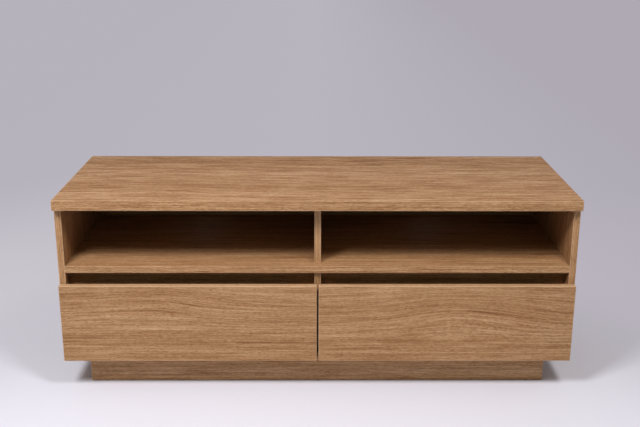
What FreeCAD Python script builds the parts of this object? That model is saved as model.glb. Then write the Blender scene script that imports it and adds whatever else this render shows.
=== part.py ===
import FreeCAD, Part
import os
import re

import Sketcher

# Driving sizes in millimetres
SIZES = (
    ("width", 1400, "overall width"),
    ("depth", 500, "overall depth, drawer fronts included"),
    ("height", 550, "overall height"),
    ("arris", 1.5, "radius on the exposed board edges"),
    ("top_thick", 28, "thickness of the top"),
    ("side_thick", 18, "thickness of the side panels"),
    ("shelf_thick", 20, "thickness of the full-width shelf"),
    ("divider_thick", 18, "thickness of both dividers"),
    ("divider_set", 12, "lower divider set back from the carcass front"),
    ("bay_divider_set", 30, "upper divider set back from the carcass front"),
    ("bottom_thick", 18, "thickness of the bottom panel"),
    ("back_thick", 5, "thickness of the back panel"),
    ("back_recess", 2, "back panel set in from the rear edges"),
    ("back_lap", 8, "back panel lap into the rebates"),
    ("back_play", 0.5, "play of the back panel and drawer bottoms in their rebates and grooves"),
    ("outlet_dia", 60, "cable outlet in the back panel"),
    ("front_thick", 20, "thickness of a drawer front"),
    ("front_height", 220, "height of a drawer front"),
    ("front_gap", 2, "closed gap between a front and the carcass"),
    ("front_reveal", 2, "front set in from the outer face of the side"),
    ("front_split", 5, "gap between the two fronts"),
    ("finger_gap", 30, "gap above the fronts that serves as a pull"),
    ("pull_thick", 18, "thickness of the rails behind the finger gap"),
    ("pull_height", 50, "height of the rails behind the finger gap"),
    ("pull_set", 42, "rails behind the finger gap set back from the carcass front"),
    ("pull_dowel_inset", 16, "end dowels of those rails from their upper and lower edges"),
    ("plinth_height", 90, "floor to the underside of the carcass"),
    ("plinth_thick", 18, "thickness of the plinth rails"),
    ("plinth_inset", 60, "plinth set in from the outline"),
    ("plinth_dowel_inset", 24, "plinth dowels from the rails' upper and lower edges"),
    ("block_leg", 45, "leg of a triangular corner block"),
    ("block_height", 40, "height of a corner block"),
    ("glide_thick", 2.5, "thickness of a floor glide"),
    ("glide_dia", 16, "diameter of a floor glide"),
    ("glide_inset", 45, "outer glides from the ends of the plinth"),
    ("box_thick", 15, "thickness of the drawer box boards"),
    ("box_height", 160, "height of a drawer box"),
    ("box_lift", 14, "drawer box above the bottom panel"),
    ("box_tail", 2, "drawer box longer than its slides at the rear"),
    ("box_screw_low", 21, "lower box screws above the box's lower edge"),
    ("box_screw_top", 32, "upper box screws below the box's upper edge"),
    ("front_screw_inset", 160, "front screws from the inside of the box"),
    ("tray_thick", 5, "thickness of a drawer bottom"),
    ("tray_lift", 10, "drawer bottom above the lower edge of its box"),
    ("groove_deep", 6, "depth of the drawer bottom's groove"),
    ("groove_play", 0.2, "play of the drawer bottom's faces in its groove"),
    ("slide_long", 450, "length of the slide rails"),
    ("slide_height", 45, "height of the outer slide rail"),
    ("slide_wide", 12.7, "width of a closed slide"),
    ("slide_lift", 50, "slide centre line above the drawer box's lower edge"),
    ("slide_set", 14, "slides set back from the carcass front"),
    ("slide_sheet", 1.2, "sheet thickness of the rails"),
    ("slide_end", 37, "end of a rail to its first screw"),
    ("lip_height", 1.5, "turned-in lip of the outer rail"),
    ("ball_dia", 4, "diameter of a ball"),
    ("ball_play", 0.25, "play of a ball between two rails"),
    ("ball_pitch", 25, "spacing of the balls"),
    ("cage_sheet", 0.5, "sheet thickness of a ball cage"),
    ("cage_play", 0.4, "clearance of a cage from the rails"),
    ("cage_end", 17.5, "end of a cage to its first ball"),
    ("fit_inset", 60, "cams and dowels in from the front and rear edges"),
    ("screw_inset", 120, "divider screws in from the front and rear edges"),
    ("drill_play", 0.15, "radial play of the fittings in their holes"),
    ("cam_dia", 15, "diameter of a cam disc"),
    ("cam_deep", 13, "depth of a cam disc"),
    ("cam_axis", 9, "cam bolt below the face that holds the cam"),
    ("cam_set", 24, "cam centre from the joint"),
    ("cam_inlet", 7.6, "diameter of the hole in a cam disc for its bolt"),
    ("bolt_tip", 1, "pointed end of a cam bolt"),
    ("bolt_thread", 9, "threaded length of a cam bolt"),
    ("bolt_thread_dia", 6, "thread diameter of a cam bolt"),
    ("bolt_shank_dia", 4.8, "shank diameter of a cam bolt"),
    ("bolt_head_dia", 6.8, "head diameter of a cam bolt"),
    ("bolt_head_long", 5, "head length of a cam bolt"),
    ("dowel_dia", 8, "diameter of a dowel"),
    ("dowel_face", 11, "dowel length in a board's face"),
    ("dowel_edge", 19, "dowel length in a board's edge"),
    ("dowel_bevel", 1, "bevel on the ends of a dowel"),
    ("joint_head_dia", 9.6, "assembly screw, head diameter"),
    ("joint_head_height", 2, "assembly screw, head height"),
    ("joint_neck_dia", 7, "assembly screw, neck diameter"),
    ("joint_neck_long", 10, "assembly screw, neck length"),
    ("joint_core_dia", 5, "assembly screw, thread diameter"),
    ("joint_core_long", 34, "assembly screw, thread length"),
    ("joint_socket", 4.6, "assembly screw, width of the six-sided socket over its corners"),
    ("block_head_dia", 8.4, "corner block screw, head diameter"),
    ("block_head_height", 2.5, "corner block screw, head height"),
    ("block_screw_dia", 4.4, "corner block screw, thread diameter"),
    ("block_bite", 8, "corner block screw, length in the bottom panel"),
    ("panel_head_dia", 6, "back panel screw, head diameter"),
    ("panel_head_height", 1.6, "back panel screw, head height"),
    ("panel_screw_dia", 3, "back panel screw, thread diameter"),
    ("panel_bite", 10, "back panel screw, length in a board's edge"),
    ("front_head_dia", 8, "drawer front screw, head diameter"),
    ("front_head_height", 2.4, "drawer front screw, head height"),
    ("front_screw_dia", 4, "drawer front screw, thread diameter"),
    ("front_bite", 12, "drawer front screw, length in the front"),
    ("slide_head_dia", 6, "slide screw, head diameter"),
    ("slide_screw_dia", 3.6, "slide screw, thread diameter"),
    ("slide_bite", 6, "slide screw, length in a board"),
    ("screw_point", 2, "pointed end of the screws"),
    ("cross_slot", 1, "width of the cross recess in a head"),
    ("nail_dia", 2, "diameter of a glide's nail"),
    ("nail_long", 14, "length of a glide's nail"),
    ("glide_bevel", 1, "bevel under a glide"),
    ("bumper_dia", 6, "diameter of a drawer bumper"),
    ("bumper_inset", 33, "side panel bumpers from the upper and lower edges of a front"),
    ("bumper_side", 4.5, "side panel bumpers from the inner faces of the panels"),
    ("bumper_middle", 40, "bottom panel bumpers from the middle of the carcass"),
    ("bumper_play", 0.4, "gap between a bumper and the closed front"),
    ("cut_over", 1, "cuts run this far past a face"),
)
PANEL_SCREWS = 6
CAGE_BALLS = 6
RECESS_SHARE = 0.6
PULL_DOWELS = (0.25, 0.75)

# Planes and lines that several pieces share, written in sizes and other places
PLACES = {
    "left": "-width / 2",
    "right": "width / 2",
    "left_wall": "left + side_thick",
    "right_wall": "right - side_thick",
    "divider_left": "-divider_thick / 2",
    "divider_right": "divider_thick / 2",
    "bay_middle": "(divider_right + right_wall) / 2",
    "face": "-depth / 2",
    "front_back": "face + front_thick",
    "carcass_front": "front_back + front_gap",
    "rear": "depth / 2",
    "back_face": "rear - back_recess - back_thick",
    "mid_depth": "(carcass_front + back_face) / 2",
    "bay_divider_front": "carcass_front + bay_divider_set",
    "fit_front": "carcass_front + fit_inset",
    "bay_divider_fit": "bay_divider_front + fit_inset",
    "fit_rear": "back_face - fit_inset",
    "screw_front": "carcass_front + screw_inset",
    "screw_rear": "back_face - screw_inset",
    "bay_floor": "plinth_height + bottom_thick",
    "front_top": "plinth_height + front_height",
    "shelf_low": "front_top + finger_gap",
    "shelf_top": "shelf_low + shelf_thick",
    "pull_front": "carcass_front + pull_set",
    "pull_middle": "pull_front + pull_thick / 2",
    "pull_low": "shelf_low - pull_height",
    "top_low": "height - top_thick",
    "bay_level": "(shelf_top + top_low) / 2",
    "drawer_level": "(bay_floor + shelf_low) / 2",
    "bottom_level": "plinth_height + bottom_thick / 2",
    "shelf_level": "shelf_low + shelf_thick / 2",
    "plinth_left": "left + plinth_inset",
    "plinth_right": "right - plinth_inset",
    "plinth_front": "face + plinth_inset",
    "plinth_rear": "rear - plinth_inset",
    "rail_front": "plinth_front + plinth_thick",
    "rail_rear": "plinth_rear - plinth_thick",
    "block_low": "plinth_height - block_height",
    "box_low": "bay_floor + box_lift",
    "box_top": "box_low + box_height",
    "box_rear": "slide_front + slide_long + box_tail",
    "box_inner_front": "front_back + box_thick",
    "box_inner_rear": "box_rear - box_thick",
    "tray_low": "box_low + tray_lift",
    "slide_front": "carcass_front + slide_set",
    "slide_middle": "slide_front + slide_long / 2",
    "slide_axis": "box_low + slide_lift",
    "cage_long": f"ball_pitch * {CAGE_BALLS - 1} + cage_end * 2",
    "cage_front": "slide_middle - cage_long / 2",
    "race_gap": "ball_dia + ball_play * 2",
    "outer_race": "slide_height / 2 - slide_sheet",
    "middle_back": "outer_race - race_gap",
    "middle_race": "middle_back - slide_sheet",
    "inner_back": "middle_race - race_gap",
    "inner_race": "inner_back - slide_sheet",
    "outer_cage_web": "slide_sheet + cage_play",
    "middle_web": "outer_cage_web + cage_sheet + cage_play",
    "inner_cage_web": "middle_web + slide_sheet + cage_play",
    "inner_tip": "inner_cage_web + cage_sheet + cage_play",
    "inner_web": "slide_wide - slide_sheet",
    "middle_tip": "inner_web - cage_play",
    "outer_row": "middle_web + ball_dia * 0.8",
    "inner_row": "inner_tip + ball_dia * 0.8",
    "outer_lip": "outer_row + ball_dia / 2 + cage_play",
    "outer_balls": "outer_race - race_gap / 2",
    "inner_balls": "middle_race - race_gap / 2",
}

NAME = re.compile(r"[a-z][a-z_]*[a-z]")
V = FreeCAD.Vector
UP = V(0, 0, 1)
ALONG = V(0, 1, 0)
WAYS = {
    "+x": V(1, 0, 0),
    "-x": V(-1, 0, 0),
    "+y": V(0, 1, 0),
    "-y": V(0, -1, 0),
    "+z": V(0, 0, 1),
    "-z": V(0, 0, -1),
}
FRONT_EDGES = ("left front", "right front")
SHELF_EDGES = ("front low", "front top")
TOP_EDGES = ("left top", "right top")
ALL_EDGES = tuple(
    f"{one} {other}"
    for ones, others in (("left right", "front rear"), ("left right", "low top"), ("front rear", "low top"))
    for one in ones.split()
    for other in others.split()
)

doc = FreeCAD.newDocument("media_cabinet")
sheet = doc.addObject("Spreadsheet::Sheet", "Sizes")
for row, (alias, value, note) in enumerate(SIZES, 1):
    sheet.set(f"A{row}", note)
    sheet.set(f"B{row}", str(value))
    sheet.setAlias(f"B{row}", alias)
doc.recompute()

nodes = {}
blanks = {}
holes = {}
groups = {}


def formula(text):
    """Writes named sizes and places as an expression on the sheet."""
    def swap(found):
        word = found.group()
        if word in PLACES:
            return "(" + formula(PLACES[word]) + ")"
        return "Sizes." + word
    return NAME.sub(swap, str(text))


def bind(obj, **sizes):
    for name, text in sizes.items():
        obj.setExpression(name, formula(text))


def place(obj, at, way=None, turn=None):
    """Puts an object at three formulas, its Z axis along a way or its axes turned."""
    if way:
        obj.Placement = FreeCAD.Placement(V(), FreeCAD.Rotation(UP, WAYS[way]))
    if turn:
        obj.Placement = FreeCAD.Placement(V(), FreeCAD.Rotation(*turn))
    for axis, text in zip("xyz", at):
        obj.setExpression(f"Placement.Base.{axis}", formula(text))


def fused(name, pieces):
    if len(pieces) == 1:
        return pieces[0]
    whole = doc.addObject("Part::MultiFuse", name)
    whole.Shapes = pieces
    whole.Refine = True
    return whole


def cut(name, base, tool):
    rest = doc.addObject("Part::Cut", name)
    rest.Base = base
    rest.Tool = tool
    return rest


# Boards and the cuts in them
def edge_names(shape, wanted):
    """Names the edges of a box that lie between the wanted pairs of sides."""
    box = shape.BoundBox
    limits = {
        "left": ("x", box.XMin),
        "right": ("x", box.XMax),
        "front": ("y", box.YMin),
        "rear": ("y", box.YMax),
        "low": ("z", box.ZMin),
        "top": ("z", box.ZMax),
    }
    names = []
    for number, edge in enumerate(shape.Edges, 1):
        middle = edge.CenterOfMass
        sides = {side for side, (axis, value) in limits.items() if abs(getattr(middle, axis) - value) < 1e-6}
        if any(sides.issuperset(pair.split()) for pair in wanted):
            names.append(f"Edge{number}")
    return names


def size_box(box, spans):
    for side, (low, high) in zip(("Length", "Width", "Height"), spans):
        bind(box, **{side: f"({high}) - ({low})"})


def board(name, x, y, z, rounded=()):
    """A board between pairs of planes, with the listed edges rounded."""
    body = doc.addObject("PartDesign::Body", name)
    box = body.newObject("PartDesign::AdditiveBox", name + "_board")
    size_box(box, (x, y, z))
    place(body, (x[0], y[0], z[0]))
    doc.recompute()
    if rounded:
        fillet = body.newObject("PartDesign::Fillet", name + "_arrises")
        fillet.Base = (box, edge_names(box.Shape, rounded))
        bind(fillet, Radius="arris")
    blanks[name] = body
    holes[name] = []


def slot(name, x, y, z):
    """Cuts a box between pairs of planes out of a board."""
    tool = doc.addObject("Part::Box", name + "_slot")
    size_box(tool, (x, y, z))
    place(tool, (x[0], y[0], z[0]))
    holes[name].append(tool)


def bore(name, way, at, dia, length):
    """Cuts a round hole out of a board."""
    tool = doc.addObject("Part::Cylinder", name + "_bore")
    bind(tool, Radius=f"({dia}) / 2", Height=length)
    place(tool, at, way)
    holes[name].append(tool)


# Turned pieces and their drive recesses
def turned(name, steps, play="0"):
    """A turned piece along +Z made of (start diameter, end diameter, length) steps."""
    pieces = []
    reach = "0"
    for first, last, length in steps:
        if first == last:
            piece = doc.addObject("Part::Cylinder", name + "_step")
            bind(piece, Radius=f"({first}) / 2 + {play}")
        else:
            piece = doc.addObject("Part::Cone", name + "_step")
            bind(piece, Radius1=f"({first}) / 2 + {play}", Radius2=f"({last}) / 2 + {play}")
        bind(piece, Height=length)
        place(piece, ("0", "0", reach))
        reach = f"{reach} + {length}"
        pieces.append(piece)
    return fused(name, pieces)


def crossed(name, piece, head_dia, head_height):
    """Cuts a cross recess into the head of a turned piece."""
    reach = f"({head_dia}) * {RECESS_SHARE}"
    bars = []
    for across, along in (("cross_slot", reach), (reach, "cross_slot")):
        bar = doc.addObject("Part::Box", name + "_bar")
        bind(bar, Length=across, Width=along, Height=f"({head_height}) * {RECESS_SHARE} + cut_over")
        place(bar, (f"-({across}) / 2", f"-({along}) / 2", "-cut_over"))
        bars.append(bar)
    return cut(name + "_crossed", piece, fused(name + "_cross", bars))


def socketed(name, piece):
    """Cuts a six-sided socket into the head of an assembly screw."""
    socket = doc.addObject("Part::Prism", name + "_socket")
    socket.Polygon = 6
    bind(socket, Circumradius="joint_socket / 2", Height="joint_head_height * 2 + cut_over")
    place(socket, ("0", "0", "-cut_over"))
    return cut(name + "_socketed", piece, socket)


def copy_of(master, at, way):
    copy = doc.addObject("App::Link", master.Name + "_copy")
    copy.LinkedObject = master
    place(copy, at, way)
    return copy


def fasten(kind, group, way, at, through):
    """Sets one fastener into a group and drills its hole through the named boards."""
    piece, drill = FASTENERS[kind]
    groups.setdefault(group, []).append(copy_of(piece, at, way))
    for name in through:
        holes[name].append(copy_of(drill, at, way))


# Sections drawn as sketches
def sketch_on(body, name, plane):
    sketch = body.newObject("Sketcher::SketchObject", name)
    support = next(item for item in body.Origin.OriginFeatures if item.Role == plane)
    sketch.AttachmentSupport = [(support, "")]
    sketch.MapMode = "FlatFace"
    return sketch


def pin_down(sketch, number, point, at):
    """Ties a sketch point to two formulas measured from the sketch's origin."""
    for kind, axis, text in zip(("DistanceX", "DistanceY"), (-2, -1), at):
        if text == "0":
            sketch.addConstraint(Sketcher.Constraint("PointOnObject", number, point, axis))
            continue
        tie = sketch.addConstraint(Sketcher.Constraint(kind, -1, 1, number, point, 1.0))
        sketch.setExpression(f"Constraints[{tie}]", formula(text))


def section(name, points, length, plane="XZ_Plane"):
    """A body padded from a closed profile whose corners are given as formulas."""
    body = doc.addObject("PartDesign::Body", name)
    sketch = sketch_on(body, name + "_profile", plane)
    count = len(points)
    for number in range(count):
        start = V(number, number * number, 0)
        end = V(number + 1, (number + 1) ** 2, 0)
        sketch.addGeometry(Part.LineSegment(start, end))
    for number in range(count):
        sketch.addConstraint(Sketcher.Constraint("Coincident", number, 2, (number + 1) % count, 1))
    for number, at in enumerate(points):
        pin_down(sketch, number, 1, at)
    pad = body.newObject("PartDesign::Pad", name + "_pad")
    pad.Profile = sketch
    pad.Reversed = plane == "XZ_Plane"
    bind(pad, Length=length)
    return body


def round_pocket(body, plane, centres, dia):
    """Pockets round holes right through a body, square to one of its planes."""
    sketch = sketch_on(body, body.Name + "_holes", plane)
    for number, at in enumerate(centres):
        sketch.addGeometry(Part.Circle(V(number, 1, 0), UP, 1))
        pin_down(sketch, number, 3, at)
        size = sketch.addConstraint(Sketcher.Constraint("Diameter", number, 1.0))
        sketch.setExpression(f"Constraints[{size}]", formula(dia))
    pocket = body.newObject("PartDesign::Pocket", body.Name + "_pocket")
    pocket.Profile = sketch
    pocket.Type = "ThroughAll"
    pocket.Midplane = True


def mirrored(half):
    """Closes a profile that is the same above and below its middle line."""
    return half + [(u, f"-({v})") for u, v in reversed(half)]


# Fasteners: each is turned once, and its drill is the same shape with play around it
STEPS = {
    "assembly_screw": (
        ("joint_head_dia", "joint_neck_dia", "joint_head_height"),
        ("joint_neck_dia", "joint_neck_dia", "joint_neck_long"),
        ("joint_core_dia", "joint_core_dia", "joint_core_long"),
        ("joint_core_dia", "joint_core_dia / 3", "screw_point"),
    ),
    "block_screw": (
        ("block_head_dia", "block_screw_dia", "block_head_height"),
        ("block_screw_dia", "block_screw_dia", "block_height - block_head_height + block_bite - screw_point"),
        ("block_screw_dia", "block_screw_dia / 3", "screw_point"),
    ),
    "panel_screw": (
        ("panel_head_dia", "panel_head_dia", "panel_head_height"),
        ("panel_screw_dia", "panel_screw_dia", "back_thick + panel_bite - screw_point"),
        ("panel_screw_dia", "panel_screw_dia / 3", "screw_point"),
    ),
    "front_screw": (
        ("front_head_dia", "front_head_dia", "front_head_height"),
        ("front_screw_dia", "front_screw_dia", "box_thick + front_bite - screw_point"),
        ("front_screw_dia", "front_screw_dia / 3", "screw_point"),
    ),
    "slide_screw": (
        ("slide_head_dia", "slide_screw_dia", "slide_sheet"),
        ("slide_screw_dia", "slide_screw_dia", "slide_bite - screw_point"),
        ("slide_screw_dia", "slide_screw_dia / 3", "screw_point"),
    ),
    "cam_bolt": (
        ("bolt_thread_dia - bolt_tip * 2", "bolt_thread_dia", "bolt_tip"),
        ("bolt_thread_dia", "bolt_thread_dia", "bolt_thread"),
        ("bolt_shank_dia", "bolt_shank_dia", "cam_set - bolt_head_long"),
        ("bolt_head_dia", "bolt_head_dia", "bolt_head_long"),
    ),
    "dowel": (
        ("dowel_dia - dowel_bevel * 2", "dowel_dia", "dowel_bevel"),
        ("dowel_dia", "dowel_dia", "dowel_face + dowel_edge - dowel_bevel * 2"),
        ("dowel_dia", "dowel_dia - dowel_bevel * 2", "dowel_bevel"),
    ),
    "glide": (
        ("glide_dia - glide_bevel * 2", "glide_dia", "glide_bevel"),
        ("glide_dia", "glide_dia", "glide_thick - glide_bevel"),
        ("nail_dia", "nail_dia", "nail_long"),
    ),
}
CROSS_HEADS = {
    "block_screw": ("block_head_dia", "block_head_height"),
    "panel_screw": ("panel_head_dia", "panel_head_height"),
    "front_screw": ("front_head_dia", "front_head_height"),
    "slide_screw": ("slide_head_dia", "slide_sheet"),
}
FASTENERS = {}
for kind, steps in STEPS.items():
    piece = turned(kind, steps)
    if kind in CROSS_HEADS:
        piece = crossed(kind, piece, *CROSS_HEADS[kind])
    if kind == "assembly_screw":
        piece = socketed(kind, piece)
    clearance = ((steps[-1][1], steps[-1][1], "drill_play"),)
    FASTENERS[kind] = (piece, turned(kind + "_drill", steps + clearance, "drill_play"))

# Cam disc: its outer face lies in the board's face and its inlet opens along +Y at the cam axis
cam_round = turned("cam_round", (("cam_dia", "cam_dia", "cam_deep"),))
cam_inlet = doc.addObject("Part::Cylinder", "cam_inlet")
bind(cam_inlet, Radius="cam_inlet / 2", Height="cam_dia")
place(cam_inlet, ("0", "0", "cam_axis"), "+y")
cam_disc = crossed("cam_disc", cut("cam_bored", cam_round, cam_inlet), "cam_dia / 2", "bolt_head_long")

# Carcass boards
board("top_panel", ("left", "right"), ("face", "rear"), ("top_low", "height"), ALL_EDGES)
board("left_side_panel", ("left", "left_wall"), ("carcass_front", "rear"), ("plinth_height", "top_low"),
      FRONT_EDGES + ("left rear", "left low"))
board("right_side_panel", ("right_wall", "right"), ("carcass_front", "rear"), ("plinth_height", "top_low"),
      FRONT_EDGES + ("right rear", "right low"))
for name, x, z, rounded in (
    ("middle_shelf", ("left_wall", "right_wall"), ("shelf_low", "shelf_top"), SHELF_EDGES),
    ("bottom_panel", ("left_wall", "right_wall"), ("plinth_height", "bay_floor"), SHELF_EDGES),
):
    board(name, x, ("carcass_front", "back_face"), z, rounded)
for name, front, z in (
    ("upper_divider", "bay_divider_front", ("shelf_top", "top_low")),
    ("lower_divider", "carcass_front + divider_set", ("bay_floor", "shelf_low")),
):
    board(name, ("divider_left", "divider_right"), (front, "back_face"), z, FRONT_EDGES)

# Back panel in its rebates, with a cable outlet behind each open bay
REBATE_Y = ("back_face", "rear + cut_over")
REBATE_Z = ("plinth_height - cut_over", "top_low + cut_over")
slot("top_panel", ("left_wall - back_lap", "right_wall + back_lap"), REBATE_Y,
     ("top_low - cut_over", "top_low + back_lap"))
slot("left_side_panel", ("left_wall - back_lap", "left_wall + cut_over"), REBATE_Y, REBATE_Z)
slot("right_side_panel", ("right_wall - cut_over", "right_wall + back_lap"), REBATE_Y, REBATE_Z)
board("back_panel", ("left_wall - back_lap + back_play", "right_wall + back_lap - back_play"),
      ("back_face", "back_face + back_thick"),
      ("plinth_height + back_play", "top_low + back_lap - back_play"))
for side in ("-", ""):
    bore("back_panel", "+y", (side + "bay_middle", "back_face - cut_over", "bay_level"), "outlet_dia",
         "back_thick + cut_over * 2")

# Plinth: front and rear rails run the full length and the three short rails stand between them
RAIL_Z = ("glide_thick", "plinth_height")
SHORT_RAILS = {
    "plinth_left_rail": ("plinth_left", "plinth_left + plinth_thick"),
    "plinth_centre_rail": ("-plinth_thick / 2", "plinth_thick / 2"),
    "plinth_right_rail": ("plinth_right - plinth_thick", "plinth_right"),
}
board("plinth_front_rail", ("plinth_left", "plinth_right"), ("plinth_front", "rail_front"), RAIL_Z,
      FRONT_EDGES + ("front low",))
board("plinth_rear_rail", ("plinth_left", "plinth_right"), ("rail_rear", "plinth_rear"), RAIL_Z,
      ("left rear", "right rear", "rear low"))
for name, across in SHORT_RAILS.items():
    board(name, across, ("rail_front", "rail_rear"), RAIL_Z)
    middle = f"({across[0]} + {across[1]}) / 2"
    for level in ("glide_thick + plinth_dowel_inset", "plinth_height - plinth_dowel_inset"):
        for way, start, rail in (("+y", "rail_front - dowel_face", "plinth_front_rail"),
                                 ("-y", "rail_rear + dowel_face", "plinth_rear_rail")):
            fasten("dowel", "wood_dowels", way, (middle, start, level), (rail, name))
for rail, line in (("plinth_front_rail", "plinth_front + plinth_thick / 2"),
                   ("plinth_rear_rail", "plinth_rear - plinth_thick / 2")):
    for spot in ("plinth_left + glide_inset", "0", "plinth_right - glide_inset"):
        fasten("glide", "floor_glides", "+z", (spot, line, "0"), (rail,))

# Corner blocks inside the plinth, screwed up into the bottom panel
BLOCK_CORNERS = (
    ("front_left", 0, "plinth_left + plinth_thick", "+", "rail_front", "+"),
    ("front_right", 90, "plinth_right - plinth_thick", "-", "rail_front", "+"),
    ("rear_right", 180, "plinth_right - plinth_thick", "-", "rail_rear", "-"),
    ("rear_left", 270, "plinth_left + plinth_thick", "+", "rail_rear", "-"),
)
for corner, angle, x, x_sign, y, y_sign in BLOCK_CORNERS:
    name = corner + "_block"
    block = section(name, [("0", "0"), ("block_leg", "0"), ("0", "block_leg")], "block_height", "XY_Plane")
    place(block, (x, y, "block_low"), turn=(UP, angle))
    blanks[name] = block
    holes[name] = []
    fasten("block_screw", "plinth_screws", "+z",
           (f"{x} {x_sign} block_leg / 3", f"{y} {y_sign} block_leg / 3", "block_low"),
           (name, "bottom_panel"))


# Knock-down joints: a cam in one board holds a bolt that is screwed into the other
def cam_joint(cam_at, cam_way, inlet_way, bolt_at, bolt_way, cam_board, bolt_board):
    """Sets a cam disc with its bolt; the cam's inlet faces the joint."""
    deep = WAYS[cam_way]
    towards = WAYS[inlet_way]
    disc = copy_of(cam_disc, cam_at, cam_way)
    place(disc, cam_at, turn=(towards.cross(deep), towards, deep))
    groups.setdefault("cam_discs", []).append(disc)
    bore(cam_board, cam_way, cam_at, "cam_dia + drill_play * 2", "cam_deep + drill_play")
    fasten("cam_bolt", "cam_bolts", bolt_way, bolt_at, (cam_board, bolt_board))


for line, divider_line in (("fit_front", "bay_divider_fit"), ("fit_rear", "fit_rear")):
    for name, wall, way, sign, along in (
        ("left_side_panel", "left_wall", "-x", "-", line),
        ("right_side_panel", "right_wall", "+x", "+", line),
        ("upper_divider", "divider_left", "+x", "+", divider_line),
    ):
        cam_joint((wall, along, "top_low - cam_set"), way, "+z",
                  (f"{wall} {sign} cam_axis", along, "top_low + bolt_thread + bolt_tip"), "-z",
                  name, "top_panel")
    for name, low in (("middle_shelf", "shelf_low"), ("bottom_panel", "plinth_height")):
        for wall, panel, sign, back, way, inlet_way in (
            ("left_wall", "left_side_panel", "+", "-", "+x", "-x"),
            ("right_wall", "right_side_panel", "-", "+", "-x", "+x"),
        ):
            cam_joint((f"{wall} {sign} cam_set", line, low), "+z", inlet_way,
                      (f"{wall} {back} (bolt_thread + bolt_tip)", line, f"{low} + cam_axis"), way,
                      name, panel)

# Dowels of the carcass
for name, middle in (
    ("left_side_panel", "left + side_thick / 2"),
    ("right_side_panel", "right - side_thick / 2"),
    ("upper_divider", "0"),
):
    fasten("dowel", "wood_dowels", "-z", (middle, "mid_depth", "top_low + dowel_face"), (name, "top_panel"))
for name, level in (("middle_shelf", "shelf_level"), ("bottom_panel", "bottom_level")):
    for way, start, panel in (("+x", "left_wall - dowel_face", "left_side_panel"),
                              ("-x", "right_wall + dowel_face", "right_side_panel")):
        fasten("dowel", "wood_dowels", way, (start, "mid_depth", level), (name, panel))

# Divider fixings
for line in ("fit_front", "fit_rear"):
    fasten("dowel", "wood_dowels", "-z", ("0", line, "shelf_low + dowel_face"),
           ("lower_divider", "middle_shelf"))
for line in ("screw_front", "screw_rear"):
    for level, through in (("shelf_low", ("middle_shelf", "upper_divider")),
                           ("plinth_height", ("bottom_panel", "lower_divider"))):
        fasten("assembly_screw", "carcass_screws", "+z", ("0", line, level), through)

# Rails that close the finger gap; their end dowels lie at different levels to pass each other in the divider
PULL_RAILS = {
    "left_pull_rail": ("left_wall", "divider_left", "left_side_panel", "lower_divider",
                       "shelf_low - pull_dowel_inset"),
    "right_pull_rail": ("divider_right", "right_wall", "lower_divider", "right_side_panel",
                        "pull_low + pull_dowel_inset"),
}
for name, (start, end, start_board, end_board, level) in PULL_RAILS.items():
    board(name, (start, end), ("pull_front", "pull_front + pull_thick"), ("pull_low", "shelf_low"),
          ("front low", "rear low"))
    fasten("dowel", "wood_dowels", "+x", (f"{start} - dowel_face", "pull_middle", level), (start_board, name))
    fasten("dowel", "wood_dowels", "-x", (f"{end} + dowel_face", "pull_middle", level), (end_board, name))
    for share in PULL_DOWELS:
        across = f"{start} + ({end} - ({start})) * {share}"
        fasten("dowel", "wood_dowels", "-z", (across, "pull_middle", "shelf_low + dowel_face"),
               (name, "middle_shelf"))

# Back panel screws into the rear edges of the boards
PANEL_SCREW_SPOTS = [
    (f"right_wall * {(2 * step + 1) / PANEL_SCREWS - 1:.4f}", level, name)
    for level, name in (("bottom_level", "bottom_panel"), ("shelf_level", "middle_shelf"),
                        ("top_low + back_lap / 2", "top_panel"))
    for step in range(PANEL_SCREWS)
] + [
    (across, level, name)
    for level, divider in (("drawer_level", "lower_divider"), ("bay_level", "upper_divider"))
    for across, name in (("left_wall - back_lap / 2", "left_side_panel"), ("0", divider),
                         ("right_wall + back_lap / 2", "right_side_panel"))
]
for across, level, name in PANEL_SCREW_SPOTS:
    fasten("panel_screw", "back_panel_screws", "-y",
           (across, "back_face + back_thick + panel_head_height", level), ("back_panel", name))

# Slides: three nested rails and two ball cages, drawn from the wall at u = 0 towards the drawer
RAILS = {
    "outer_rail": [
        ("0", "-slide_height / 2"),
        ("outer_lip + slide_sheet", "-slide_height / 2"),
        ("outer_lip + slide_sheet", "-outer_race + lip_height"),
        ("outer_lip", "-outer_race + lip_height"),
        ("outer_lip", "-outer_race"),
        ("slide_sheet", "-outer_race"),
    ],
    "middle_rail": [
        ("middle_web", "-middle_back"),
        ("middle_tip", "-middle_back"),
        ("middle_tip", "-middle_race"),
        ("middle_web + slide_sheet", "-middle_race"),
    ],
    "inner_rail": [
        ("inner_web", "-inner_race"),
        ("inner_tip", "-inner_race"),
        ("inner_tip", "-inner_back"),
        ("slide_wide", "-inner_back"),
    ],
}
CAGES = {
    "outer_ball_cages": ("outer_cage_web", "outer_row", "outer_balls"),
    "inner_ball_cages": ("inner_cage_web", "inner_row", "inner_balls"),
}
SLIDE_SCREW_LINES = ("slide_front + slide_end", "slide_middle", "slide_front + slide_long - slide_end")
SLIDE_TURN = {"left": (ALONG, 0), "right": (ALONG, 180)}
SLIDE_SIGN = {"left": "+", "right": "-"}


def rail(name, kind, wall, side):
    """One rail of a slide against a wall; the right-hand one is turned about its length."""
    body = section(name, mirrored(RAILS[kind]), "slide_long")
    place(body, (wall, "slide_front", "slide_axis"), turn=SLIDE_TURN[side])
    blanks[name] = body
    holes[name] = []


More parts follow.
